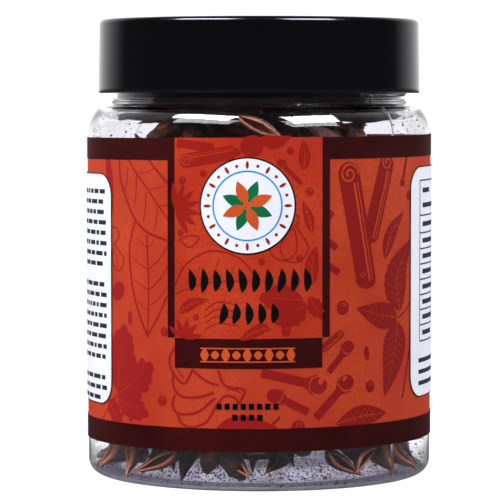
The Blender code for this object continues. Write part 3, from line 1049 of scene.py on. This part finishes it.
def settle(count, steps, rng):
    """Middle, turn and size of each pod after the clusters of balls have fallen and come to rest."""
    local, sizes = pod_balls()
    local = local - local.mean(axis=0)
    per_pod = len(sizes)
    scale = 1.04 + 0.2 * rng.random(count)
    shapes = local[None] * scale[:, None, None]
    sizes = (sizes[None] * scale[:, None]).ravel()
    order = np.arange(count)
    swing = order * np.pi * (3.0 - 5.0**0.5)
    ring = np.where(order % 5 == 0, 16.0, 23.0)
    middles = np.stack([ring * np.cos(swing), ring * np.sin(swing), 12.0 + (order // 5) * 11.5], axis=1)
    turns = random_turns(rng, count)
    balls = np.einsum("pij,pkj->pki", turns, shapes) + middles[:, None]
    speed = np.zeros_like(balls)
    for step in range(steps):
        speed[..., 2] -= FALL
        before = balls.copy()
        balls = balls + speed
        if step % 6 == 0:
            first, second, belong = close_pairs(balls, sizes, per_pod)
        for _ in range(3):
            flat = balls.reshape(-1, 3)
            away = flat[first] - flat[second]
            gap = np.linalg.norm(away, axis=1) + 1e-9
            push = away * (PUSH * np.clip(belong - gap, 0.0, None) / gap)[:, None]
            shift = [
                np.bincount(first, push[:, axis], len(flat)) - np.bincount(second, push[:, axis], len(flat))
                for axis in range(3)
            ]
            flat = flat + np.stack(shift, axis=1)
            out = np.hypot(flat[:, 0], flat[:, 1])
            past_wall = np.clip(out - (heap_radius(flat[:, 2]) - sizes), 0.0, None)
            beside = (flat[:, 2] > CORE_LOW) & (flat[:, 2] < CORE_HIGH)
            in_core = np.clip(CORE_RADIUS + sizes - out, 0.0, None) * beside
            flat[:, :2] += flat[:, :2] * ((in_core - past_wall) / np.maximum(out, 0.001))[:, None]
            under = floor_height(np.hypot(flat[:, 0], flat[:, 1])) + sizes - flat[:, 2]
            flat[:, 2] += np.clip(under, 0.0, None)
            balls = flat.reshape(count, per_pod, 3)
            middles = balls.mean(axis=1)
            spread = np.einsum("pki,pkj->pij", balls - middles[:, None], shapes)
            left, _, right = np.linalg.svd(spread)
            left[:, :, 2] *= np.sign(np.linalg.det(left @ right))[:, None]
            turns = left @ right
            balls = np.einsum("pij,pkj->pki", turns, shapes) + middles[:, None]
        speed = (balls - before) * SLOWING
    origin = middles - np.einsum("pij,j->pi", turns, pod_balls()[0].mean(axis=0)) * scale[:, None]
    return origin, turns, scale


rng = np.random.default_rng(4)
pod_origin, pod_turn, pod_scale = settle(POURED, SETTLE_STEPS, rng)
under_lid = pod_origin[:, 2] < HEAP_TOP    # a pod that was pushed out past the neck is left out
pod_origin, pod_turn, pod_scale = (part[under_lid] for part in (pod_origin, pod_turn, pod_scale))
POD_COUNT = len(pod_origin)
pod_height = pod_origin[:, 2]
print("pods", POD_COUNT, "highest", pod_height.max().round(1), "lowest", pod_height.min().round(1))


# %% [markdown]
# ## Pods: one arm
# A star is a ring of boat-shaped carpels. Each is a thin woody shell, pressed flat at the sides,
# keeled below, split along its top and drawn out to a beak that turns up. Most have opened and
# show a paler, smooth hollow with one polished seed. A sculpted star copied about would look
# stamped, so the boat is a formula whose length, gape and wrinkles differ from arm to arm.

# %% Carpel surface
ARM_STATIONS = 10
OUTER_POINTS, INNER_POINTS = 7, 6
RIM_POINTS = OUTER_POINTS + INNER_POINTS


def carpels(length, gape, phase):
    """Closed boat-shaped shells, one for each entry of length, along +X.

    Along the boat (u) the half width and the depth swell and fall as sines of powers of u, and
    the beak lifts with the fourth power of u. Round it (v) an arc runs from lip to lip under
    the keel for the outer face, then back with a smaller radius for the hollow.
    """
    u = np.linspace(0.0, 1.0, ARM_STATIONS)[None, :, None]
    length, gape, phase = (np.asarray(a)[:, None, None] for a in (length, gape, phase))
    half = 2.55 * (0.12 + 0.88 * np.sin(np.pi * u**0.85) ** 0.75) * (1.0 - 0.55 * u**3)
    half = np.where(u > 0.999, 0.12, half)
    deep = 6.6 * (0.55 + 0.45 * np.sin(np.pi * np.clip(u * 1.1, 0, 1))) * (1.0 - u**2.6) + 0.25
    top = 2.3 - 1.2 * u + 3.0 * u**4 + 0.25 * np.sin(5.0 * u + phase)
    opening = gape * np.sin(np.pi * np.clip(u * 1.02, 0.0, 1.0)) ** 0.8
    split = np.arcsin(np.clip(0.08 + 0.86 * opening, 0.0, 0.95))
    outer_arc = np.linspace(-1.0, 1.0, OUTER_POINTS)[None, None]
    inner_arc = np.linspace(1.0, -1.0, INNER_POINTS)[None, None]
    wall = 0.42 + 0.1 * np.sin(9.0 * u + phase)
    wrinkle = 1.0 + 0.05 * np.sin(17.0 * u + 3.0 * phase + 4.0 * outer_arc) * (1.0 - outer_arc**2)
    a = outer_arc * (np.pi - split)
    b = inner_arc * (np.pi - split - 0.04)
    out_y, out_z = half * wrinkle * np.sin(a), -0.5 * deep * wrinkle * np.cos(a)
    in_half = np.maximum(half - wall, 0.25 * half)
    in_deep = np.maximum(0.5 * deep - wall, 0.2 * deep)
    in_y, in_z = in_half * np.sin(b), -in_deep * np.cos(b)
    y = np.concatenate([out_y, in_y], axis=2)
    z = np.concatenate([out_z, in_z], axis=2) + top - 0.5 * deep
    x = np.broadcast_to(0.9 + length * u + 0.0 * y, y.shape)
    edge = np.concatenate([np.abs(outer_arc) ** 12, np.abs(inner_arc) ** 8], axis=2)
    hollow = np.concatenate([np.zeros(OUTER_POINTS), np.ones(INNER_POINTS)])[None, None]
    lip = np.broadcast_to(edge, y.shape)
    hollow = np.broadcast_to(hollow, y.shape)
    points = np.stack([x, y, z], axis=-1)
    first = points[:, :1].mean(axis=2, keepdims=True) + np.zeros_like(points[:, :1])
    last = points[:, -1:].mean(axis=2, keepdims=True) + np.zeros_like(points[:, :1])
    points = np.concatenate([first, points, last], axis=1)
    lip, hollow = (np.concatenate([m[:, :1], m, m[:, -1:]], axis=1) for m in (lip, hollow))
    return points, lip, hollow


def inside_jar(points, margin):
    """Press points that would pass the wall or the base back to just inside them."""
    out = np.hypot(points[..., 0], points[..., 1])
    limit = wall_radius(points[..., 2]) - margin
    share = np.where(out > limit, limit / np.maximum(out, 0.001), 1.0)
    x, y = points[..., 0] * share, points[..., 1] * share
    z = np.maximum(points[..., 2], floor_height(np.hypot(x, y)) + margin)
    return np.stack([x, y, z], axis=-1)


# %% Carpel mesh
arm_count = POD_COUNT * POD_ARMS
arm_length = 12.4 * (0.86 + 0.2 * rng.random(arm_count))
arm_length[rng.random(arm_count) < 0.06] *= 0.6
arm_gape = np.clip(rng.normal(0.5, 0.28, arm_count), 0.03, 0.95)
arm_phase = rng.random(arm_count) * TAU
arm_points, arm_lip, arm_hollow = carpels(arm_length, arm_gape, arm_phase)
arm_tone = np.repeat(0.7 * rng.random(POD_COUNT) ** 3, POD_ARMS) + 0.8 * rng.random(arm_count) ** 5
arm_tone = np.clip(arm_tone, 0.0, 1.0)[:, None, None] + 0.0 * arm_lip


def place_arms(points):
    """Turn each arm to its place round its star, then each star to its place in the heap."""
    spread = np.tile(np.arange(POD_ARMS) * TAU / POD_ARMS, POD_COUNT) + 0.07 * np.sin(5.0 * arm_phase)
    tilt = 0.09 * np.sin(7.0 * arm_phase + 1.0)
    pod = np.repeat(np.arange(POD_COUNT), POD_ARMS)
    x = points[..., 0] * np.cos(tilt)[:, None] - points[..., 2] * np.sin(tilt)[:, None]
    z = points[..., 0] * np.sin(tilt)[:, None] + points[..., 2] * np.cos(tilt)[:, None]
    y = points[..., 1]
    c, s = np.cos(spread)[:, None], np.sin(spread)[:, None]
    star = np.stack([c * x - s * y, s * x + c * y, z], axis=-1) * pod_scale[pod][:, None, None]
    return np.einsum("pij,pkj->pki", pod_turn[pod], star) + pod_origin[pod][:, None]


rings = ARM_STATIONS + 2
flat_arms = arm_points.reshape(arm_count, rings * RIM_POINTS, 3)
placed = inside_jar(place_arms(flat_arms), 0.25)
arm_faces = repeat_faces(quads(rings, RIM_POINTS, wrap_columns=True), arm_count, rings * RIM_POINTS)

dried_pod, nodes, links, shader = finish("dried_pod", roughness=0.6, Specular_IOR_Level=0.1)
broad = noise(nodes, links, 260.0, detail=4.0)
fine = noise(nodes, links, 1500.0, detail=4.0, roughness=0.7)
tone = mark(nodes, "tone")
black_stops = [(0.35, linear(20, 15, 16)), (0.55, linear(36, 24, 23)), (0.75, linear(76, 44, 34))]
black_bark = ramp(nodes, links, broad, black_stops)
red_bark = ramp(nodes, links, broad, [(0.3, linear(44, 28, 25)), (0.7, linear(98, 56, 42))])
bark = blend(nodes, links, tone, black_bark, red_bark)
lip_colour = blend(nodes, links, tone, linear(88, 52, 42), linear(186, 110, 82))
hollow_colour = ramp(nodes, links, broad, [(0.3, linear(60, 34, 26)), (0.7, linear(112, 66, 46))])
colour = blend(nodes, links, mark(nodes, "hollow"), bark, hollow_colour)
lip = mask(nodes, links, mark(nodes, "lip"), 0.4, 0.75)
colour = blend(nodes, links, lip, colour, lip_colour)
dust = mask(nodes, links, fine, 0.6, 0.7)
colour = blend(nodes, links, dust, colour, linear(116, 92, 84))
links.new(colour, shader.inputs["Base Color"])
bump(nodes, links, shader, fine, 0.25, 0.7)

pods = piece(
    "star_pods",
    placed,
    arm_faces,
    dried_pod,
    weld=0.0005,
    marks={"lip": arm_lip, "hollow": arm_hollow, "tone": arm_tone},
)
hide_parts("star_anise")
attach(pods, "root")


# %% [markdown]
# ## Pods: loose arms
# Some stars broke on the way, and single arms lie flat against the wall, one at the shoulder and
# a few near the base. Each is the same boat, set between two points with its opening outwards.

# %% Loose arms
LOOSE_GAPE = 0.4
LOOSE_SHAPE = np.array([1.0, 0.8, 0.7])
LOOSE_SINK = 0.8
WALL_GAP = 0.25
loose_tones = np.array([0.35, 1.0, 0.9, 0.5, 0.8, 0.3, 0.4])
loose_ends = np.array([
    [(-5.4, -33.6, 83.6), (5.0, -36.6, 78.4)],
    [(-17.2, -32.2, 8.6), (-26.8, -25.0, 3.2)],
    [(-9.0, -35.4, 9.2), (-2.4, -36.6, 3.8)],
    [(14.5, -33.4, 9.0), (21.5, -30.4, 3.4)],
    [(26.5, -26.2, 9.0), (21.0, -31.0, 4.0)],
    [(-20.5, 29.5, 8.8), (-12.0, 34.0, 3.8)],
    [(17.0, 31.5, 83.0), (8.0, 35.5, 79.0)],
])
loose_count = len(loose_ends)
loose_run = loose_ends[:, 1] - loose_ends[:, 0]
loose_length = np.linalg.norm(loose_run, axis=1)
ahead_axis = loose_run / loose_length[:, None]
out_axis = loose_ends.mean(axis=1) * np.array([1.0, 1.0, 0.0])
out_axis -= (out_axis * ahead_axis).sum(axis=1)[:, None] * ahead_axis
out_axis /= np.linalg.norm(out_axis, axis=1)[:, None]
side_axis = np.cross(out_axis, ahead_axis)
loose_gape, loose_phase = np.full(loose_count, LOOSE_GAPE), np.arange(loose_count)
loose_points, loose_lip, loose_hollow = carpels(loose_length, loose_gape, loose_phase)
loose_flat = loose_points.reshape(loose_count, -1, 3) * LOOSE_SHAPE
loose_axes = np.stack([ahead_axis, side_axis, out_axis], axis=1)
loose_placed = np.einsum("pki,pij->pkj", loose_flat, loose_axes)
loose_placed = inside_jar(loose_placed + loose_ends[:, :1] - out_axis[:, None] * LOOSE_SINK, WALL_GAP)
loose_tone = loose_tones[:, None, None] + 0.0 * loose_lip
loose_faces = repeat_faces(quads(rings, RIM_POINTS, wrap_columns=True), loose_count, rings * RIM_POINTS)
loose = piece(
    "loose_arms",
    loose_placed,
    loose_faces,
    dried_pod,
    weld=0.0005,
    marks={"lip": loose_lip, "hollow": loose_hollow, "tone": loose_tone},
)
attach(loose, "root")


# %% [markdown]
# ## Seeds
# Each open arm holds one seed, a polished chestnut lens set on edge. They are small and many, so
# a coarse egg shape with smooth shading is enough.

# %% Seeds
has_seed = (arm_gape > 0.3) & (arm_length > 9.0) & (np.arange(arm_count) % 7 != 3)
turn = np.linspace(0.0, TAU, 8, endpoint=False)
height = np.linspace(0.0, np.pi, 7)
egg = np.stack([
    3.0 * np.cos(height)[:, None] + 0.0 * turn[None],
    1.35 * np.sin(height)[:, None] * np.cos(turn)[None],
    2.0 * np.sin(height)[:, None] * np.sin(turn)[None],
], axis=-1).reshape(1, -1, 3)
seed_places = place_arms(egg + np.array([7.0, 0.0, -0.9]) + np.zeros((arm_count, 1, 1)))[has_seed]
seed_places = inside_jar(seed_places, 0.3)
seed_faces = repeat_faces(quads(7, 8, wrap_columns=True)[:, ::-1], int(has_seed.sum()), 56)

polished_seed, nodes, links, shader = finish(
    "polished_seed", roughness=0.22, Coat_Weight=0.4, Coat_Roughness=0.1
)
tone = noise(nodes, links, 180.0, detail=2.0)
chestnut = ramp(nodes, links, tone, [(0.3, linear(70, 30, 18)), (0.7, linear(128, 66, 34))])
links.new(chestnut, shader.inputs["Base Color"])
seeds = piece("seeds", seed_places, seed_faces, polished_seed, weld=0.0005)
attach(seeds, "root")


# %% [markdown]
# ## Dust and crumbs
# Broken bits and dust sink to the bottom and cling to the wall. The finest lies as a speckled
# grey bloom over the pushed-up base, which also glows a little, painted light for the light that
# comes up through the base, and turns dark lilac towards the heel, a painted dark reflection of
# the heel. Over it, and on the wall above and below the label, lie loose crumbs, small uneven
# eight-sided grains. A dark sheet inside the neck is painted shade under the lid.

# %% Dust on the base, with painted glow
DUST_TURNS, DUST_RINGS, DUST_REACH = 144, 60, 38.2
DUST_LIFT, DUST_SWELL = 0.14, 0.08
HEEL_SHADE_START, HEEL_SHADE_WIDTH = 31.0, 4.5
PAINTED_BASE_GLOW = 0.5

dust_angles = np.linspace(0.0, TAU, DUST_TURNS, endpoint=False)
dust_radii = np.linspace(0.0, DUST_REACH, DUST_RINGS)
swell = DUST_SWELL * np.sin(31.0 * dust_angles)[:, None] * np.sin(dust_radii)[None]
past_foot = np.clip(dust_radii - (BODY_RADIUS - HEEL_RADIUS), 0.0, None)
heel_rise = HEEL_RADIUS - np.sqrt(np.clip((HEEL_RADIUS - WALL) ** 2 - past_foot**2, 0.0, None))
dust_rise = floor_height(dust_radii)[None] + DUST_LIFT + swell
dust_rise = np.maximum(dust_rise, heel_rise[None] + DUST_LIFT)
dust_grid = around_axis(dust_radii[None], dust_angles[:, None], dust_rise)
# The edge mark rises towards the heel and paints the dust dark lilac there: a painted dark reflection of the
# heel, not dust.
heel_shade_mark = np.clip((dust_radii - HEEL_SHADE_START) / HEEL_SHADE_WIDTH, 0.0, 1.0)
heel_shade_mark = np.broadcast_to(heel_shade_mark[None], dust_rise.shape)

base_dust_and_glow, nodes, links, shader = finish("base_dust_and_glow", roughness=0.8, Specular_IOR_Level=0.0)
speck = noise(nodes, links, 1900.0, detail=1.0, roughness=0.5)
cover = ramp(nodes, links, speck, [(0.42, (1, 1, 1, 1)), (0.52, (0.5, 0.5, 0.5, 1))])
links.new(cover, shader.inputs["Alpha"])
pale_stops = [(0.4, linear(60, 52, 70)), (0.48, linear(196, 192, 214)), (0.6, linear(238, 235, 250))]
pale = ramp(nodes, links, speck, pale_stops)
drift = mask(nodes, links, noise(nodes, links, 130.0, detail=2.0), 0.5, 0.75, 0.6)
brown = blend(nodes, links, drift, pale, linear(96, 70, 72))
# Painted dark reflection at the heel, laid over the dust colour where the edge mark rises.
edge = mask(nodes, links, mark(nodes, "edge"), 0.1, 0.5, 0.85)
dust_and_glow_colour = blend(nodes, links, edge, brown, linear(52, 46, 74))
# Painted light: the dust colour is also its emission, so the base dust glows, standing for light that comes
# up through the plastic base.
for socket in ("Base Color", "Emission Color"):
    links.new(dust_and_glow_colour, shader.inputs[socket])
shader.inputs["Emission Strength"].default_value = PAINTED_BASE_GLOW
dust_faces = quads(DUST_TURNS, DUST_RINGS, wrap_rows=True)
dust = piece("base_dust_and_glow", dust_grid, dust_faces, base_dust_and_glow, weld=0.0005, marks={"edge": heel_shade_mark})
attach(dust, "root")

# %% Painted shade in the neck
# A dark speckled sheet just inside the neck, from the top of the heap up under the lid: painted shade, a dark
# sheet put where there is only shade.
NECK_TURNS, NECK_ROWS = 180, 16
NECK_LOW, NECK_HIGH, NECK_GAP = 84.2, 96.0, 0.35
neck_angles = np.linspace(0.0, TAU, NECK_TURNS, endpoint=False)
neck_rise = np.linspace(0.0, 1.0, NECK_ROWS)
neck_low = NECK_LOW + 0.5 * np.sin(5.0 * neck_angles) + 0.3 * np.sin(13.0 * neck_angles + 1.0)
neck_up = neck_low[:, None] * (1.0 - neck_rise) + NECK_HIGH * neck_rise[None]
neck_out = wall_radius(np.maximum(neck_up, LEDGE_HEIGHT + 0.1)) - NECK_GAP
neck_out = neck_out + 0.1 * np.sin(37.0 * neck_angles)[:, None]
neck_grid = around_axis(neck_out, neck_angles[:, None], neck_up)
neck_shade_sheet, nodes, links, shader = finish("neck_shade_sheet", roughness=0.8, Specular_IOR_Level=0.0)
speck = noise(nodes, links, 1300.0, detail=3.0, roughness=0.65)
links.new(
    ramp(nodes, links, speck, [(0.4, linear(8, 7, 8)), (0.6, linear(22, 16, 16)), (0.8, linear(70, 44, 36))]),
    shader.inputs["Base Color"],
)
neck_shade_ring = piece("neck_shade_sheet", neck_grid, quads(NECK_TURNS, NECK_ROWS, wrap_rows=True), neck_shade_sheet)
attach(neck_shade_ring, "root")

# %% Crumbs
CRUMB_COUNT = 5200
SHOULDER_SHARE, WALL_SHARE = 0.3, 0.75
CRUMB_REACH = 35.0
corners = np.array([(1, 0, 0), (-1, 0, 0), (0, 1, 0), (0, -1, 0), (0, 0, 1), (0, 0, -1)], dtype=float)
eight = np.array([(0, 2, 4), (2, 1, 4), (1, 3, 4), (3, 0, 4), (2, 0, 5), (1, 2, 5), (3, 1, 5), (0, 3, 5)])
crumb_size = 0.05 + 0.3 * rng.random(CRUMB_COUNT) ** 8
stretch = 0.6 + 0.8 * rng.random((CRUMB_COUNT, 1, 3))
grains = np.einsum("pij,pkj->pki", random_turns(rng, CRUMB_COUNT), corners[None] * stretch)
grains = grains * crumb_size[:, None, None]
crumb_angle = rng.random(CRUMB_COUNT) * TAU
place = rng.random(CRUMB_COUNT)
on_wall = place < WALL_SHARE
at_shoulder = 78.0 + 7.5 * rng.random(CRUMB_COUNT)
at_foot = 1.5 + 9.0 * rng.random(CRUMB_COUNT) ** 1.6
crumb_up = np.where(place < SHOULDER_SHARE, at_shoulder, np.where(on_wall, at_foot, 0.0))
on_base = CRUMB_REACH * np.sqrt(rng.random(CRUMB_COUNT))
crumb_out = np.where(on_wall, wall_radius(crumb_up) - 0.22, on_base)
crumb_middle = inside_jar(around_axis(crumb_out, crumb_angle, crumb_up), 0.2)
crumb_points = crumb_middle[:, None] + grains
crumbs = piece("crumbs", crumb_points, repeat_faces(eight, CRUMB_COUNT, 6), dried_pod)
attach(crumbs, "root")


# %% [markdown]
# ## The core
# Behind the outer stars the heap is only dark gaps. A rough dark lump down the middle stands for
# what can't be seen, so that light doesn't shine through.

# %% Core
core_angle = np.linspace(0.0, TAU, 64, endpoint=False)
core_rise = np.linspace(0.0, np.pi, 40)
lumps = 1.0 + 0.12 * np.sin(5 * core_angle)[:, None] * np.sin(7 * core_rise)[None]
lumps = lumps + 0.08 * np.sin(9 * core_angle + 1.0)[:, None] * np.sin(11 * core_rise + 0.5)[None]
core_radius = (CORE_RADIUS - 2.0) * np.sin(core_rise)[None] ** 0.4 * lumps
core_height = 0.5 * (CORE_LOW + CORE_HIGH) - 0.5 * (CORE_HIGH - CORE_LOW) * np.cos(core_rise)
core_grid = around_axis(core_radius, core_angle[:, None], core_height[None])
core = piece("heap_core", core_grid, quads(64, 40, wrap_rows=True), dried_pod, weld=0.0005)
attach(core, "root")


# %% [markdown]
# ## Camera, light and floor
# A long lens stands level with the jar's shoulder and tips down a little. The surroundings are a
# white tent that is darker on the near side, so that the black lid stays black in front and
# turns pale at its edges; two soft boxes light the label.

# %% Camera
CAMERA_DISTANCE = 0.680
CAMERA_HEIGHT = 0.0877
LENS = 210.0
TILT = np.radians(3.03)
PAN = np.radians(0.178)

camera_data = bpy.data.cameras.new("camera")
camera_data.lens = LENS
camera_data.sensor_width = 36.0
camera_data.clip_start = 0.01
camera_data.clip_end = 50.0
camera = bpy.data.objects.new("camera", camera_data)
camera.location = (0.0, -CAMERA_DISTANCE, CAMERA_HEIGHT)
camera.rotation_euler = (np.pi / 2 - TILT, 0.0, PAN)
bpy.context.scene.collection.objects.link(camera)
bpy.context.scene.camera = camera
bpy.context.scene.view_settings.view_transform = "Standard"

# %% World
world = bpy.data.worlds.new("white_tent")
bpy.context.scene.world = world
world.use_nodes = True
nodes, links = world.node_tree.nodes, world.node_tree.links
background = nodes["Background"]
toward_back = axis_of(nodes, links, "Generated", "Y")
tent = slope(nodes, links, toward_back, 0.4, 0.95, 0.04, 1.15)
behind_jar = slope(nodes, links, toward_back, -0.1, 0.5, 0.0, 0.9)
rays = nodes.new("ShaderNodeLightPath").outputs
seen = reckon(nodes, links, "MULTIPLY_ADD", rays["Is Transmission Ray"], behind_jar, rays["Is Camera Ray"])
background.inputs["Color"].default_value = (1.0, 1.0, 1.0, 1.0)
links.new(reckon(nodes, links, "MAXIMUM", seen, tent), background.inputs["Strength"])


# %% Lamps
def soft_box(name, azimuth, elevation, distance, size, power, diffuse=True, glossy=True, clear=True):
    """A square area lamp aimed at the middle of the jar; azimuth 0 is in front, 90 at the right."""
    data = bpy.data.lights.new(name, "AREA")
    data.shape = "RECTANGLE"
    data.size, data.size_y = size
    data.energy = power
    data.color = (1.0, 1.0, 1.0)
    lamp = bpy.data.objects.new(name, data)
    a, e = np.radians(azimuth), np.radians(elevation)
    aim = Vector((0.0, 0.0, 0.05))
    lamp.location = aim + distance * Vector((np.sin(a) * np.cos(e), -np.cos(a) * np.cos(e), np.sin(e)))
    lamp.rotation_euler = (lamp.location - aim).to_track_quat("Z", "Y").to_euler()
    lamp.visible_diffuse = diffuse
    lamp.visible_glossy = glossy
    lamp.visible_transmission = clear
    bpy.context.scene.collection.objects.link(lamp)
    return lamp


soft_box("left_box", -42.0, 32.0, 0.8, (0.5, 0.5), 6.4, glossy=False, clear=False)
soft_box("right_box", 42.0, 32.0, 0.8, (0.5, 0.5), 3.6, glossy=False, clear=False)
soft_box("left_side", -105.0, 8.0, 0.9, (0.7, 0.7), 5.4, glossy=False, clear=False)
soft_box("right_side", 105.0, 8.0, 0.9, (0.7, 0.7), 6.5, glossy=False, clear=False)
soft_box("left_gleam", -47.0, 50.0, 0.78, (0.5, 0.2), 12.0, diffuse=False)
soft_box("right_gleam", 42.0, 44.0, 0.78, (0.42, 0.28), 11.0, diffuse=False)

# %% Floor
FLOOR_HALF = 6000.0
FLOOR_DROP = 0.05
floor_material, nodes, links, shader = finish(
    "white_floor", roughness=0.9, Base_Color=(0.12, 0.12, 0.13, 1.0), Specular_IOR_Level=0.0
)
shader.inputs["Emission Color"].default_value = (1.0, 1.0, 1.0, 1.0)
rays = nodes.new("ShaderNodeLightPath").outputs
# Painted shadow: seen through the jar, the floor glows only faintly under and in front of the jar and
# brightly behind it. To the camera it glows evenly white.
jar_shadow_fade = slope(nodes, links, axis_of(nodes, links, "Object", "Y"), 0.0, 0.05, 0.02, 1.6)
through_jar = reckon(nodes, links, "MULTIPLY_ADD", rays["Is Transmission Ray"], jar_shadow_fade, 0.06)
glow = reckon(nodes, links, "MAXIMUM", rays["Is Camera Ray"], through_jar)
links.new(glow, shader.inputs["Emission Strength"])
floor_side = np.linspace(-FLOOR_HALF, FLOOR_HALF, 3)
floor_x, floor_y = np.meshgrid(floor_side, floor_side, indexing="ij")
floor_grid = np.stack([floor_x, floor_y, np.full_like(floor_x, -FLOOR_DROP)], axis=-1)
floor = piece("floor", floor_grid, quads(3, 3), floor_material)
